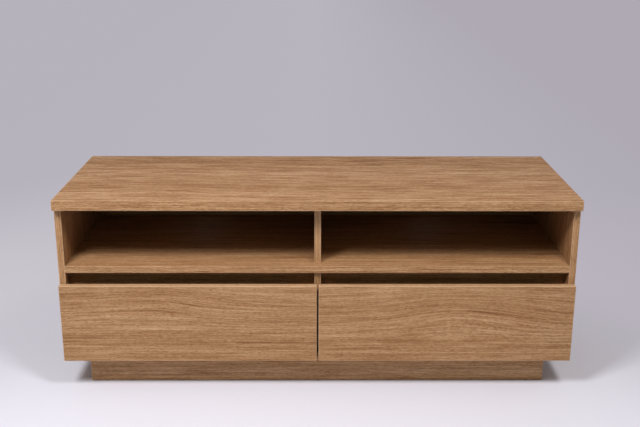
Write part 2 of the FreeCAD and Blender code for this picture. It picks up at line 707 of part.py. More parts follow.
def cage(name, group, kind, wall, side):
    """A ball cage, which is a thin channel that opens away from the wall, with its two rows of balls."""
    web, row, level = CAGES[kind]
    tip = f"{row} + ball_dia / 2"
    outside = f"-({level} + cage_sheet / 2)"
    inside = f"-({level} - cage_sheet / 2)"
    half = [(web, outside), (tip, outside), (tip, inside), (f"{web} + cage_sheet", inside)]
    body = section(name, mirrored(half), "cage_long")
    spots = [f"cage_end + ball_pitch * {number}" for number in range(CAGE_BALLS)]
    round_pocket(body, "XY_Plane", [(row, spot) for spot in spots], "ball_dia + drill_play * 2")
    place(body, (wall, "cage_front", "slide_axis"), turn=SLIDE_TURN[side])
    members = groups.setdefault(group, [])
    members.append(body)
    for spot in spots:
        for edge in ("+", "-"):
            ball = doc.addObject("Part::Sphere", name + "_ball")
            bind(ball, Radius="ball_dia / 2")
            place(ball, (f"{wall} {SLIDE_SIGN[side]} ({row})", f"cage_front + {spot}",
                         f"slide_axis {edge} ({level})"))
            members.append(ball)


# Drawers
DRAWERS = {
    "left_drawer": (("left_wall", "divider_left"), ("left + front_reveal", "-front_split / 2"),
                    ("left_side_panel", "lower_divider")),
    "right_drawer": (("divider_right", "right_wall"), ("front_split / 2", "right - front_reveal"),
                     ("lower_divider", "right_side_panel")),
}
for drawer, (bay, front_x, wall_boards) in DRAWERS.items():
    box_left = f"{bay[0]} + slide_wide"
    box_right = f"{bay[1]} - slide_wide"
    in_left = f"{box_left} + box_thick"
    in_right = f"{box_right} - box_thick"
    box_y = ("front_back", "box_rear")
    box_z = ("box_low", "box_top")
    front, left_side, right_side, inner_front, box_back = (
        f"{drawer}_{part}" for part in ("front", "left_side", "right_side", "inner_front", "box_back"))
    board(front, front_x, ("face", "front_back"), ("plinth_height", "front_top"), ALL_EDGES)
    board(left_side, (box_left, in_left), box_y, box_z, TOP_EDGES)
    board(right_side, (in_right, box_right), box_y, box_z, TOP_EDGES)
    board(inner_front, (in_left, in_right), ("front_back", "box_inner_front"), box_z, ("rear top",))
    board(box_back, (in_left, in_right), ("box_inner_rear", "box_rear"), box_z, ("front top", "rear top"))

    # Drawer bottom in a groove on all four sides
    groove_x = (f"{in_left} - groove_deep", f"{in_right} + groove_deep")
    groove_y = ("box_inner_front - groove_deep", "box_inner_rear + groove_deep")
    for name in (left_side, right_side, inner_front, box_back):
        slot(name, groove_x, groove_y, ("tray_low", "tray_low + tray_thick + groove_play"))
    board(f"{drawer}_box_bottom", (f"{groove_x[0]} + back_play", f"{groove_x[1]} - back_play"),
          (f"{groove_y[0]} + back_play", f"{groove_y[1]} - back_play"), ("tray_low", "tray_low + tray_thick"))

    # Box screws from the sides, front screws from inside the box
    for level in ("box_low + box_screw_low", "box_top - box_screw_top"):
        for line, end in (("front_back + box_thick / 2", inner_front),
                          ("box_rear - box_thick / 2", box_back)):
            for way, start, side_board in (("+x", box_left, left_side), ("-x", box_right, right_side)):
                fasten("assembly_screw", f"{drawer}_box_screws", way, (start, line, level), (side_board, end))
        for across in (f"{in_left} + front_screw_inset", f"{in_right} - front_screw_inset"):
            fasten("front_screw", f"{drawer}_front_screws", "-y",
                   (across, "box_inner_front + front_head_height", level), (inner_front, front))

    # Slides on both sides of the box
    for side, wall, wall_board, box_board, outward, inward in (
        ("left", bay[0], wall_boards[0], left_side, "-x", "+x"),
        ("right", bay[1], wall_boards[1], right_side, "+x", "-x"),
    ):
        for kind in RAILS:
            rail(f"{drawer}_{side}_{kind}", kind, wall, side)
        for line in SLIDE_SCREW_LINES:
            fasten("slide_screw", "slide_cabinet_screws", outward,
                   (f"{wall} {SLIDE_SIGN[side]} slide_sheet", line, "slide_axis"),
                   (f"{drawer}_{side}_outer_rail", wall_board))
            fasten("slide_screw", f"{drawer}_slide_screws", inward,
                   (f"{wall} {SLIDE_SIGN[side]} (inner_web)", line, "slide_axis"),
                   (f"{drawer}_{side}_inner_rail", box_board))
        for kind in CAGES:
            cage(f"{drawer}_{side}_{kind}", f"{drawer}_{kind}", kind, wall, side)

# Bumpers behind the fronts, on the edges of the side panels and the bottom panel
BUMPER_SPOTS = (
    ("right_wall + bumper_side", "plinth_height + bumper_inset"),
    ("right_wall + bumper_side", "front_top - bumper_inset"),
    ("bumper_middle", "bottom_level"),
)
for side in ("-", ""):
    for across, level in BUMPER_SPOTS:
        bumper = doc.addObject("Part::Cylinder", "bumper")
        bind(bumper, Radius="bumper_dia / 2", Height="front_gap - bumper_play")
        place(bumper, (f"{side}({across})", "carcass_front", level), "-y")
        groups.setdefault("drawer_bumpers", []).append(bumper)

# Boards and rails with their slots and holes cut
for name, blank in blanks.items():
    nodes[name] = blank
    if holes[name]:
        nodes[name] = cut(name + "_cut", blank, fused(name + "_tools", holes[name]))
    blank.Label = name + "_blank"
    nodes[name].Label = name
groups["plinth_corner_blocks"] = [nodes.pop(corner[0] + "_block") for corner in BLOCK_CORNERS]
for name, members in groups.items():
    group = doc.addObject("Part::Compound", name)
    group.Links = members
    group.Label = name
    nodes[name] = group
doc.recompute()

# Checks before anything is written
for item in doc.Objects:
    if "Invalid" in item.State or "Error" in item.State:
        raise ValueError(f"{item.Label} did not compute: {item.State}")
for name, node in nodes.items():
    if node.Shape.isNull() or not node.Shape.isValid():
        raise ValueError(f"{name} has no valid shape")

os.makedirs("parts", exist_ok=True)
for name, node in nodes.items():
    node.Shape.exportStep(f"parts/{name}.step")
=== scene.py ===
"""TV stand: finishes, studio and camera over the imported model."""
import math

import bmesh
import bpy
from mathutils import Matrix, Vector


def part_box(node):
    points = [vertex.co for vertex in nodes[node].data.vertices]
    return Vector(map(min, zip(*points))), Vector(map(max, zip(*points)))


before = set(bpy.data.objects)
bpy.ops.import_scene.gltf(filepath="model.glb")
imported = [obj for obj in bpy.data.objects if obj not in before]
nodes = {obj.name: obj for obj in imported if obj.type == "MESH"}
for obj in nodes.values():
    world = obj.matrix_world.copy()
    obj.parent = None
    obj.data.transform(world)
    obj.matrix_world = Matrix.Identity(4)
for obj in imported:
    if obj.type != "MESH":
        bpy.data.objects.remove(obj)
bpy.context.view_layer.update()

# Directions that grain runs in
LENGTHWAYS = (1.0, 0.0, 0.0)
FRONT_TO_BACK = (0.0, 1.0, 0.0)
UPRIGHT = (0.0, 0.0, 1.0)
# Ways that faces look, and how squarely a face has to look that way to count
FORWARD = (0.0, -1.0, 0.0)
RIGHTWARD = (1.0, 0.0, 0.0)
LEFTWARD = (-1.0, 0.0, 0.0)
UPWARD = (0.0, 0.0, 1.0)
SQUARELY = 0.5
# Plain vectors, and the middle of a noise's range
NOWHERE = (0.0, 0.0, 0.0)
EACH_WAY = (1.0, 1.0, 1.0)
LEVEL = (1.0, 1.0, 0.0)
NOISE_MIDDLE = 0.5
# How much the finer waves of a noise add to it
SOFT = 0.55
COARSE = 0.6
SPECKLED = 0.65


# Small helpers for colours and nodes
def screen(red, green, blue):
    """A colour given in 0 to 255 screen values, as linear RGBA by the sRGB curve."""
    linear = []
    for value in (red, green, blue):
        share = value / 255.0
        linear.append(share / 12.92 if share <= 0.04045 else ((share + 0.055) / 1.055) ** 2.4)
    return (*linear, 1.0)


def put(tree, socket, value):
    """Links a socket to an input, or sets the input's own value."""
    if isinstance(value, bpy.types.NodeSocket):
        tree.links.new(value, socket)
    else:
        socket.default_value = value


def add(tree, kind, inputs=None, **settings):
    """A new node with these settings and inputs."""
    made = tree.nodes.new(kind)
    for name, value in settings.items():
        setattr(made, name, value)
    for name, value in (inputs or {}).items():
        put(tree, made.inputs[name], value)
    return made


def sums(tree, operation, first, second=0.0, third=0.0):
    """The result of a Math node."""
    inputs = {0: first, 1: second, 2: third}
    return add(tree, "ShaderNodeMath", inputs, operation=operation).outputs["Value"]


def vectors(tree, operation, first, second=NOWHERE, result="Vector"):
    """The result of a Vector Math node."""
    inputs = {0: first, 1: second}
    return add(tree, "ShaderNodeVectorMath", inputs, operation=operation).outputs[result]


def scaled(tree, vector, factor):
    """A vector times a factor."""
    inputs = {0: vector, "Scale": factor}
    return add(tree, "ShaderNodeVectorMath", inputs, operation="SCALE").outputs["Vector"]


def split(tree, vector):
    """The X, Y and Z of a vector."""
    return add(tree, "ShaderNodeSeparateXYZ", {"Vector": vector}).outputs


def joined(tree, **sizes):
    """A vector from its X, Y and Z."""
    return add(tree, "ShaderNodeCombineXYZ", sizes).outputs["Vector"]


def object_place(tree):
    """A point's place in the model."""
    return add(tree, "ShaderNodeTexCoord").outputs["Object"]


def face_direction(tree):
    """The way that a face looks."""
    return add(tree, "ShaderNodeNewGeometry").outputs["True Normal"]


def looks(tree, way):
    """1 on the faces that look the given way."""
    towards = vectors(tree, "DOT_PRODUCT", face_direction(tree), way, "Value")
    return sums(tree, "GREATER_THAN", towards, SQUARELY)


def noise(tree, place, cycles, detail, roughness=SOFT):
    """Cloudy noise, in cycles per metre along each direction of the place."""
    stretched = vectors(tree, "MULTIPLY", place, cycles)
    inputs = {"Vector": stretched, "Scale": 1.0, "Detail": detail, "Roughness": roughness}
    return add(tree, "ShaderNodeTexNoise", inputs).outputs["Fac"]


def between(tree, value, low, high, to_low=0.0, to_high=1.0):
    """A smooth step of the value from low to high."""
    inputs = {"Value": value, "From Min": low, "From Max": high, "To Min": to_low, "To Max": to_high}
    made = add(tree, "ShaderNodeMapRange", inputs, interpolation_type="SMOOTHSTEP")
    return made.outputs["Result"]


def tint(tree, how, share, first, second):
    """Two colours mixed, by a share from 0 to 1."""
    inputs = {"Factor": share, "A": first, "B": second}
    made = add(tree, "ShaderNodeMix", inputs, data_type="RGBA", blend_type=how)
    return made.outputs["Result"]


def colour_steps(tree, value, steps):
    """A colour ramp through (place, colour) steps."""
    made = add(tree, "ShaderNodeValToRGB", {"Fac": value})
    ramp = made.color_ramp
    while len(ramp.elements) < len(steps):
        ramp.elements.new(0.5)
    for element, (place, colour) in zip(ramp.elements, steps):
        element.position = place
        element.color = colour
    return made.outputs["Color"]


def new_group(name, inputs, outputs):
    """An empty shader group with (name, kind, start value) inputs and (name, kind) outputs."""
    tree = bpy.data.node_groups.new(name, "ShaderNodeTree")
    for label, kind, start in inputs:
        socket = tree.interface.new_socket(label, in_out="INPUT", socket_type=kind)
        socket.default_value = start
    for label, kind in outputs:
        tree.interface.new_socket(label, in_out="OUTPUT", socket_type=kind)
    entry = tree.nodes.new("NodeGroupInput").outputs
    leave = tree.nodes.new("NodeGroupOutput").inputs
    return tree, entry, leave


def use(tree, group, **inputs):
    """The outputs of a group placed in a tree, with underscores for spaces in its input names."""
    made = add(tree, "ShaderNodeGroup", node_tree=group)
    for name, value in inputs.items():
        put(tree, made.inputs[name.replace("_", " ")], value)
    return made.outputs


def new_material(name, **plain):
    """A material with a Principled shader, whose plain values are set by name."""
    material = bpy.data.materials.new(name)
    material.use_nodes = True
    tree = material.node_tree
    shader = tree.nodes["Principled BSDF"]
    for label, value in plain.items():
        shader.inputs[label.replace("_", " ")].default_value = value
    return material, tree, shader


def bumped(tree, shader, height, depth):
    """Feeds a height to the shader's normal, with its depth in metres."""
    inputs = {"Height": height, "Distance": depth, "Strength": 1.0}
    bump = add(tree, "ShaderNodeBump", inputs)
    put(tree, shader.inputs["Normal"], bump.outputs["Normal"])


def finish(material, *names):
    """Gives a material to these nodes of the model."""
    for name in names:
        for holder in nodes[name].material_slots:
            holder.material = material


# Kinds of socket that the shared effects have
FLOAT = "NodeSocketFloat"
VECTOR = "NodeSocketVector"

# Grain flow: how squarely a face has to cut the grain to count as an end of the board
END_FACE = 0.8
# How far apart in the noise two boards lie whose seeds differ by 1
SEED_STEP = 5.3
# Slow waves along a board: cycles per metre, and their usual height
WAVE_CYCLES = (2.2, 7.0, 1.0)
PLAIN_WAVE = 0.006
# Along, level and lift of the figure's eye, then its reach, where the figure doesn't arch
NO_EYE = (NOWHERE, (0.2, 0.05, 0.2))


def make_grain_flow():
    """Where a point lies along and across the grain, with the figure's swell and waves."""
    no_eye, no_eye_size = NO_EYE
    tree, entry, leave = new_group(
        "grain_flow",
        [("Grain", VECTOR, LENGTHWAYS), ("End Grain", VECTOR, FRONT_TO_BACK), ("Seed", FLOAT, 0.0),
         ("Eye", VECTOR, no_eye), ("Eye Size", VECTOR, no_eye_size), ("Wave", FLOAT, PLAIN_WAVE)],
        [("Flow", VECTOR)])
    spot = object_place(tree)
    cut = vectors(tree, "DOT_PRODUCT", face_direction(tree), entry["Grain"], "Value")
    at_end = sums(tree, "GREATER_THAN", sums(tree, "ABSOLUTE", cut), END_FACE)
    axes = {"Factor": at_end, "A": entry["Grain"], "B": entry["End Grain"]}
    run = add(tree, "ShaderNodeMix", axes, data_type="VECTOR").outputs["Result"]
    rest = vectors(tree, "SUBTRACT", EACH_WAY, run)
    along = vectors(tree, "DOT_PRODUCT", spot, run, "Value")
    across = vectors(tree, "DOT_PRODUCT", spot, rest, "Value")
    # The swell of growth lines over the figure's eye, which reaches further on one side
    eye = split(tree, entry["Eye"])
    size = split(tree, entry["Eye Size"])
    aside = sums(tree, "SUBTRACT", along, eye["X"])
    past = sums(tree, "GREATER_THAN", aside, 0.0)
    further = sums(tree, "SUBTRACT", size["Z"], size["X"])
    length = sums(tree, "MULTIPLY_ADD", past, further, size["X"])
    sideways = sums(tree, "POWER", sums(tree, "DIVIDE", aside, length), 2.0)
    above = sums(tree, "DIVIDE", sums(tree, "SUBTRACT", across, eye["Y"]), size["Y"])
    squared = sums(tree, "MULTIPLY_ADD", above, above, sideways)
    fall = sums(tree, "POWER", math.e, sums(tree, "MULTIPLY", squared, -1.0))
    swell = sums(tree, "MULTIPLY", fall, eye["Z"])
    # Slow waves along the board
    shift = joined(tree, Z=sums(tree, "MULTIPLY", entry["Seed"], SEED_STEP))
    moved = vectors(tree, "ADD", joined(tree, X=along, Y=across), shift)
    slow = sums(tree, "SUBTRACT", noise(tree, moved, WAVE_CYCLES, 1.0), NOISE_MIDDLE)
    wave = sums(tree, "MULTIPLY", slow, entry["Wave"])
    warped = sums(tree, "ADD", sums(tree, "SUBTRACT", across, swell), wave)
    put(tree, leave["Flow"], vectors(tree, "ADD", joined(tree, X=along, Y=warped), shift))
    return tree


# Oak grain: cycles per metre along and across the grain
BAND_CYCLES = (0.9, 40.0, 1.0)
PATCH_CYCLES = (9.0, 95.0, 1.0)
STREAK_CYCLES = (4.0, 300.0, 1.0)
FLECK_CYCLES = (22.0, 430.0, 1.0)
FIBRE_CYCLES = (80.0, 600.0, 1.0)
PORE_CYCLES = (85.0, 1250.0, 1.0)
# Fine growth lines: cycles of the levels that they follow, width, cycles of the mask that breaks them up
FINE_LINES = (
    ((0.9, 26.0, 2.0), 0.04, (3.1, 40.0, 3.0)),
    ((1.5, 62.0, 4.0), 0.06, (4.4, 60.0, 5.0)),
)
FINE_LINES_SHOWN = (0.44, 0.6)
# Pores: where they begin in their noise, and how far dark streaks thicken them
PORE_EDGE = (0.6, 0.68)
DARK_TO_PALE = (0.35, 0.65)
PORE_THICKENING = 0.08
FIBRE_HEIGHT = 0.5


def make_oak_grain():
    """Bands, patches, streaks, flecks, growth lines and pores of oak, for a place along its grain."""
    tree, entry, leave = new_group(
        "oak_grain",
        [("Flow", VECTOR, NOWHERE), ("Bands", FLOAT, 0.5), ("Patches", FLOAT, 0.3),
         ("Streaks", FLOAT, 0.7), ("Flecks", FLOAT, 0.5), ("Lines", FLOAT, 0.3)],
        [("Tone", FLOAT), ("Pores", FLOAT), ("Height", FLOAT)])
    flow = entry["Flow"]
    bands = noise(tree, flow, BAND_CYCLES, 2.0)
    patches = noise(tree, flow, PATCH_CYCLES, 1.0)
    streaks = noise(tree, flow, STREAK_CYCLES, 3.0, COARSE)
    flecks = noise(tree, flow, FLECK_CYCLES, 2.0, COARSE)
    fibres = noise(tree, flow, FIBRE_CYCLES, 2.0, COARSE)
    tone = NOISE_MIDDLE
    for part, share in ((bands, "Bands"), (patches, "Patches"), (streaks, "Streaks"),
                        (flecks, "Flecks"), (fibres, "Flecks")):
        swing = sums(tree, "SUBTRACT", part, NOISE_MIDDLE)
        tone = sums(tree, "MULTIPLY_ADD", swing, entry[share], tone)
    # Growth lines follow levels of slow noise and come and go along the board
    for cycles, width, mask_cycles in FINE_LINES:
        level = noise(tree, flow, cycles, 1.0)
        near = sums(tree, "ABSOLUTE", sums(tree, "SUBTRACT", level, NOISE_MIDDLE))
        line = between(tree, near, 0.0, width, 1.0, 0.0)
        shown = between(tree, noise(tree, flow, mask_cycles, 1.0), *FINE_LINES_SHOWN)
        drop = sums(tree, "MULTIPLY", sums(tree, "MULTIPLY", line, shown), entry["Lines"])
        tone = sums(tree, "SUBTRACT", tone, drop)
    put(tree, leave["Tone"], tone)
    # Pores are short dashes, thicker in the dark streaks
    dashes = noise(tree, flow, PORE_CYCLES, 1.0)
    thick = between(tree, streaks, *DARK_TO_PALE, PORE_THICKENING, 0.0)
    pores = between(tree, sums(tree, "ADD", dashes, thick), *PORE_EDGE)
    put(tree, leave["Pores"], pores)
    dip = sums(tree, "MULTIPLY", pores, -1.0)
    put(tree, leave["Height"], sums(tree, "MULTIPLY_ADD", fibres, FIBRE_HEIGHT, dip))
    return tree


# Single growth lines: the share of the half width at full strength, and the fade at their ends
LINE_CORE = 0.2
LINE_ENDS = (-0.01, 0.05)
# The noise that breaks them up, and their strength from its low to its high values
BREAK_CYCLES = (7.0, 120.0, 1.0)
BREAK_EDGE = (0.3, 0.6)
BREAK_STRENGTH = (0.5, 1.15)


def make_tone_line():
    """One growth line or tone band, at a level of the grain between two ends along the board."""
    tree, entry, leave = new_group(
        "tone_line",
        [("Flow", VECTOR, NOWHERE), ("Level", FLOAT, 0.0), ("Half Width", FLOAT, 0.003),
         ("Strength", FLOAT, -0.1), ("Start", FLOAT, -1.0), ("End", FLOAT, 1.0)],
        [("Tone", FLOAT)])
    place = split(tree, entry["Flow"])
    away = sums(tree, "ABSOLUTE", sums(tree, "SUBTRACT", place["Y"], entry["Level"]))
    core = between(tree, sums(tree, "DIVIDE", away, entry["Half Width"]), LINE_CORE, 1.0, 1.0, 0.0)
    from_start = sums(tree, "SUBTRACT", place["X"], entry["Start"])
    to_end = sums(tree, "SUBTRACT", entry["End"], place["X"])
    within = between(tree, sums(tree, "MINIMUM", from_start, to_end), *LINE_ENDS)
    breaks = noise(tree, entry["Flow"], BREAK_CYCLES, 2.0)
    broken = between(tree, breaks, *BREAK_EDGE, *BREAK_STRENGTH)
    shape = sums(tree, "MULTIPLY", sums(tree, "MULTIPLY", core, within), broken)
    put(tree, leave["Tone"], sums(tree, "MULTIPLY", shape, entry["Strength"]))
    return tree


# Share of an arris's width at full strength
ARRIS_CORE = 0.3


def make_arris():
    """How near a point of a board is to its arrises, 1 at the arris and 0 at the given width."""
    tree, entry, leave = new_group(
        "arris",
        [("Low", VECTOR, NOWHERE), ("High", VECTOR, EACH_WAY), ("Width", FLOAT, 0.003)],
        [("Near", FLOAT)])
    spot = object_place(tree)
    over = vectors(tree, "SUBTRACT", spot, entry["Low"])
    under = vectors(tree, "SUBTRACT", entry["High"], spot)
    inset = split(tree, vectors(tree, "MINIMUM", over, under))
    # A point lies on one face, so the middle one of its three insets is its way to the nearest arris
    least = sums(tree, "MINIMUM", inset["X"], inset["Y"])
    most = sums(tree, "MAXIMUM", inset["X"], inset["Y"])
    middle = sums(tree, "MAXIMUM", least, sums(tree, "MINIMUM", most, inset["Z"]))
    share = sums(tree, "DIVIDE", sums(tree, "MAXIMUM", middle, 0.0), entry["Width"])
    put(tree, leave["Near"], between(tree, share, ARRIS_CORE, 1.0, 1.0, 0.0))
    return tree


# Rolled metal: shares of marks and clouds in its tone
MARK_SHARE = 0.4
CLOUD_SHARE = 0.6
# Its roughness from cloud to cloud, and what the marks add to it
CLOUD_RANGE = (0.3, 0.7)
PLATED_ROUGHNESS = (0.26, 0.42)
MARK_ROUGHNESS = 0.12


def make_rolled_metal():
    """Drawing marks along a metal part, with cloudy plating."""
    tree, entry, leave = new_group(
        "rolled_metal",
        [("Marks", VECTOR, (900.0, 12.0, 900.0)), ("Clouds", FLOAT, 40.0)],
        [("Tone", FLOAT), ("Roughness", FLOAT), ("Height", FLOAT)])
    spot = object_place(tree)
    marks = noise(tree, spot, entry["Marks"], 2.0)
    clouds = noise(tree, scaled(tree, spot, entry["Clouds"]), EACH_WAY, 4.0, COARSE)
    cloudy = sums(tree, "MULTIPLY", clouds, CLOUD_SHARE)
    put(tree, leave["Tone"], sums(tree, "MULTIPLY_ADD", marks, MARK_SHARE, cloudy))
    rough = between(tree, clouds, *CLOUD_RANGE, *PLATED_ROUGHNESS)
    put(tree, leave["Roughness"], sums(tree, "MULTIPLY_ADD", marks, MARK_ROUGHNESS, rough))
    put(tree, leave["Height"], marks)
    return tree


# Cycles of soft clouds to one of the speckle
CLOUDS_TO_SPECKLE = (0.05, 0.05, 0.05)


def make_fine_speckle():
    """Fine speckle and soft clouds, for moulded plastic, rubber and pressed fibre."""
    tree, entry, leave = new_group(
        "fine_speckle", [("Size", FLOAT, 0.001)], [("Speckle", FLOAT), ("Clouds", FLOAT)])
    grains = scaled(tree, object_place(tree), sums(tree, "DIVIDE", 1.0, entry["Size"]))
    put(tree, leave["Speckle"], noise(tree, grains, EACH_WAY, 3.0, SPECKLED))
    put(tree, leave["Clouds"], noise(tree, grains, CLOUDS_TO_SPECKLE, 3.0))
    return tree


grain_flow = make_grain_flow()
oak_grain = make_oak_grain()
tone_line = make_tone_line()
arris = make_arris()
rolled_metal = make_rolled_metal()
fine_speckle = make_fine_speckle()


def wood_grain(tree, flow, shares, lines):
    """The oak grain for shares of bands, patches, streaks and flecks, and for the strength of its lines."""
    bands, patches, streaks, flecks = shares
    return use(tree, oak_grain, Flow=flow, Bands=bands, Patches=patches, Streaks=streaks,
               Flecks=flecks, Lines=lines)


def near_arris(tree, node, width):
    """How near a point is to the arrises of this board."""
    low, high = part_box(node)
    return use(tree, arris, Low=tuple(low), High=tuple(high), Width=width)["Near"]


# Oak boards of the carcass, plinth and drawer fronts
OAK_STEPS = [
    (0.0, screen(118, 75, 41)),
    (0.3, screen(152, 110, 72)),
    (0.5, screen(170, 129, 90)),
    (0.7, screen(186, 147, 109)),
    (1.0, screen(206, 170, 134)),
]
PORE_BROWN = screen(109, 69, 39)
PORE_STRENGTH = 0.55
# Painted highlight along the arrises
ARRIS_HIGHLIGHT = screen(208, 172, 138)
OAK_LINES = 0.14
OAK_ARRIS = 0.0022
OAK_BUMP = 0.00018
# Roughness from a wood's dark tones to its pale ones, and what pores add to it
TONE_RANGE = (0.2, 0.8)
OAK_ROUGHNESS = (0.66, 0.54)
PORE_ROUGHNESS = 0.2
# Each board's grain direction, the direction on its end faces, and the seed of its figure
OAK_BOARDS = {
    "top_panel": (LENGTHWAYS, FRONT_TO_BACK, 1.0),
    "middle_shelf": (LENGTHWAYS, FRONT_TO_BACK, 2.0),
    "bottom_panel": (LENGTHWAYS, FRONT_TO_BACK, 3.0),
    "left_side_panel": (UPRIGHT, FRONT_TO_BACK, 4.0),
    "right_side_panel": (UPRIGHT, FRONT_TO_BACK, 5.0),
    "upper_divider": (UPRIGHT, FRONT_TO_BACK, 6.0),
    "lower_divider": (UPRIGHT, FRONT_TO_BACK, 7.0),
    "left_pull_rail": (LENGTHWAYS, UPRIGHT, 15.0),
    "right_pull_rail": (LENGTHWAYS, UPRIGHT, 16.0),
    "plinth_front_rail": (LENGTHWAYS, UPRIGHT, 8.0),
    "plinth_rear_rail": (LENGTHWAYS, UPRIGHT, 9.0),
    "plinth_left_rail": (FRONT_TO_BACK, UPRIGHT, 10.0),
    "plinth_right_rail": (FRONT_TO_BACK, UPRIGHT, 11.0),
    "plinth_centre_rail": (FRONT_TO_BACK, UPRIGHT, 12.0),
    "left_drawer_front": (LENGTHWAYS, UPRIGHT, 13.0),
    "right_drawer_front": (LENGTHWAYS, UPRIGHT, 14.0),
}
# Shares of bands, patches, streaks and flecks in a board's tone
PLAIN_SHARES = (0.5, 0.3, 0.85, 0.65)
GRAIN_SHARES = {
    "left_drawer_front": (0.3, 0.3, 0.82, 0.62),
    "right_drawer_front": (0.3, 0.3, 0.77, 0.58),
    "top_panel": (0.2, 0.86, 0.72, 0.82),
    "left_side_panel": (0.35, 0.3, 0.75, 0.65),
    "right_side_panel": (0.35, 0.3, 0.75, 0.65),
    "plinth_front_rail": (0.3, 0.3, 0.82, 0.62),
}
# Where the figure arches: along, level and lift of its eye, then its reach to the left, up and to the right
EYES = {
    "left_drawer_front": ((-0.4615, 0.035, 0.032), (0.40, 0.07, 0.19)),
    "right_drawer_front": ((0.39, -0.012, 0.036), (0.19, 0.062, 0.21)),
}
# Where the faces with their own growth lines and painted bands lie, measured square to them
FRONT_FACE = -0.25
TOP_FACE = 0.55
PLINTH_FACE = -0.19
# Growth lines that stand out, and on the plinth's front rail bands of painted light and shade: start, end,
# a point on the line along and across, half width, strength
NO_LINES = (0.0, ())
GROWTH_LINES_AND_PAINTED_LIGHT = {
    "left_drawer_front": (FRONT_FACE, (
        (-0.75, 0.05, -0.350, 0.3010, 0.0070, 0.06),
        (-0.75, 0.05, -0.350, 0.2850, 0.0060, -0.04),
        (-0.75, 0.05, -0.321, 0.1875, 0.0120, 0.17),
        (-0.75, 0.05, -0.350, 0.1470, 0.0110, -0.12),
        (-0.75, 0.05, -0.350, 0.1180, 0.0090, 0.05),
        (-0.75, -0.375, -0.452, 0.2407, 0.0026, -0.20),
        (-0.70, -0.220, -0.446, 0.2672, 0.0040, -0.16),
        (-0.75, -0.580, -0.632, 0.2896, 0.0050, -0.12),
        (-0.21, -0.105, -0.157, 0.2802, 0.0050, -0.14),
        (-0.15, 0.050, -0.081, 0.2466, 0.0070, -0.12),
        (-0.30, -0.215, -0.256, 0.2035, 0.0030, -0.16),
        (-0.75, -0.570, -0.626, 0.1480, 0.0030, -0.20),
        (-0.75, -0.590, -0.637, 0.1610, 0.0030, -0.12),
        (-0.46, -0.300, -0.381, 0.1404, 0.0060, -0.10),
        (-0.24, 0.050, -0.125, 0.1451, 0.0030, -0.14),
        (-0.50, -0.265, -0.375, 0.1109, 0.0030, -0.14),
        (-0.75, -0.560, -0.626, 0.1020, 0.0030, -0.14),
        (-0.375, -0.174, -0.277, 0.2419, 0.0030, 0.12),
        (-0.75, -0.460, -0.572, 0.2188, 0.0050, 0.08),
    )),
    "right_drawer_front": (FRONT_FACE, (
        (-0.05, 0.750, 0.350, 0.3010, 0.0070, 0.08),
        (-0.05, 0.750, 0.350, 0.2840, 0.0060, -0.08),
        (-0.05, 0.750, 0.350, 0.2200, 0.0120, 0.05),
        (-0.05, 0.750, 0.350, 0.1520, 0.0140, -0.07),
        (-0.05, 0.750, 0.372, 0.1817, 0.0100, 0.10),
        (-0.05, 0.750, 0.350, 0.1180, 0.0090, 0.05),
        (0.245, 0.400, 0.306, 0.2477, 0.0030, -0.15),
        (0.385, 0.635, 0.482, 0.2318, 0.0060, -0.13),
        (0.560, 0.750, 0.649, 0.2389, 0.0060, -0.13),
        (-0.05, 0.103, 0.053, 0.2525, 0.0040, -0.10),
        (-0.05, 0.064, 0.037, 0.2289, 0.0030, -0.14),
        (0.119, 0.240, 0.180, 0.1976, 0.0030, -0.14),
        (0.064, 0.311, 0.174, 0.1480, 0.0080, -0.08),
        (0.174, 0.311, 0.218, 0.1445, 0.0030, -0.08),
        (0.476, 0.750, 0.580, 0.1357, 0.0080, -0.10),
        (0.185, 0.240, 0.213, 0.1080, 0.0030, -0.14),
        (0.317, 0.432, 0.394, 0.2790, 0.0030, -0.14),
    )),
    "top_panel": (TOP_FACE, (
        (-0.8, 0.8, 0.0, 0.041, 0.030, 0.12),
        (-0.8, 0.8, 0.0, 0.174, 0.060, -0.13),
        (-0.8, 0.8, 0.0, -0.117, 0.032, -0.05),
        (-0.8, 0.8, 0.0, -0.178, 0.020, 0.06),
    )),
    # Painted light and shade: a lift over the shaded plinth face, a paler band low down, and painted
    # contact shade along its foot
    "plinth_front_rail": (PLINTH_FACE, (
        (-0.8, 0.8, 0.0, 0.040, 0.080, 0.15),
        (-0.8, 0.8, 0.0, 0.029, 0.015, 0.12),
        (-0.8, 0.8, 0.0, 0.003, 0.009, -0.22),
    )),
}
# Painted light and shade by the way a face looks: a painted highlight on the top edges of the drawer fronts
# and on the front edges of the top and the upper divider, painted shade on the inner faces of the sides.
# The way they look, and their tone
PAINTED_FACE_LIGHT = {
    "top_panel": (FORWARD, 0.04),
    "left_drawer_front": (UPWARD, 0.32),
    "right_drawer_front": (UPWARD, 0.32),
    "left_side_panel": (RIGHTWARD, -0.14),
    "right_side_panel": (LEFTWARD, -0.14),
    "upper_divider": (FORWARD, 0.1),
}
# Flat boards whose front edge strips have a figure of their own
STRIPPED_BOARDS = ("top_panel", "middle_shelf", "bottom_panel")
# How much finer it is along and across the grain, and its shares
STRIP_FINENESS = (0.2, 0.5, 0.0)
STRIP_SHARES = (0.4, 0.2, 1.1, 1.0)
# Painted shade, darker and warmer, on boards that lie in shade: the pull rails behind the finger gap and
# the plinth's front rail under the overhang
PAINTED_SHADE_TINTS = {
    "plinth_front_rail": (1.0, 0.97, 0.92, 1.0),
    "left_pull_rail": (1.0, 0.88, 0.8, 1.0),
    "right_pull_rail": (1.0, 0.88, 0.8, 1.0),
}
# How strong the painted highlight along the oak arrises is
PLAIN_ARRIS_HIGHLIGHT = 0.5
ARRIS_HIGHLIGHT_SHARES = {"middle_shelf": 0.2}


def level_at(along, across, eye, eye_size):
    """The level of the grain that passes through a point, with the figure's swell taken off."""
    length = eye_size[2] if along > eye[0] else eye_size[0]
    squared = ((along - eye[0]) / length) ** 2 + ((across - eye[1]) / eye_size[1]) ** 2
    return across - eye[2] * math.exp(-squared)


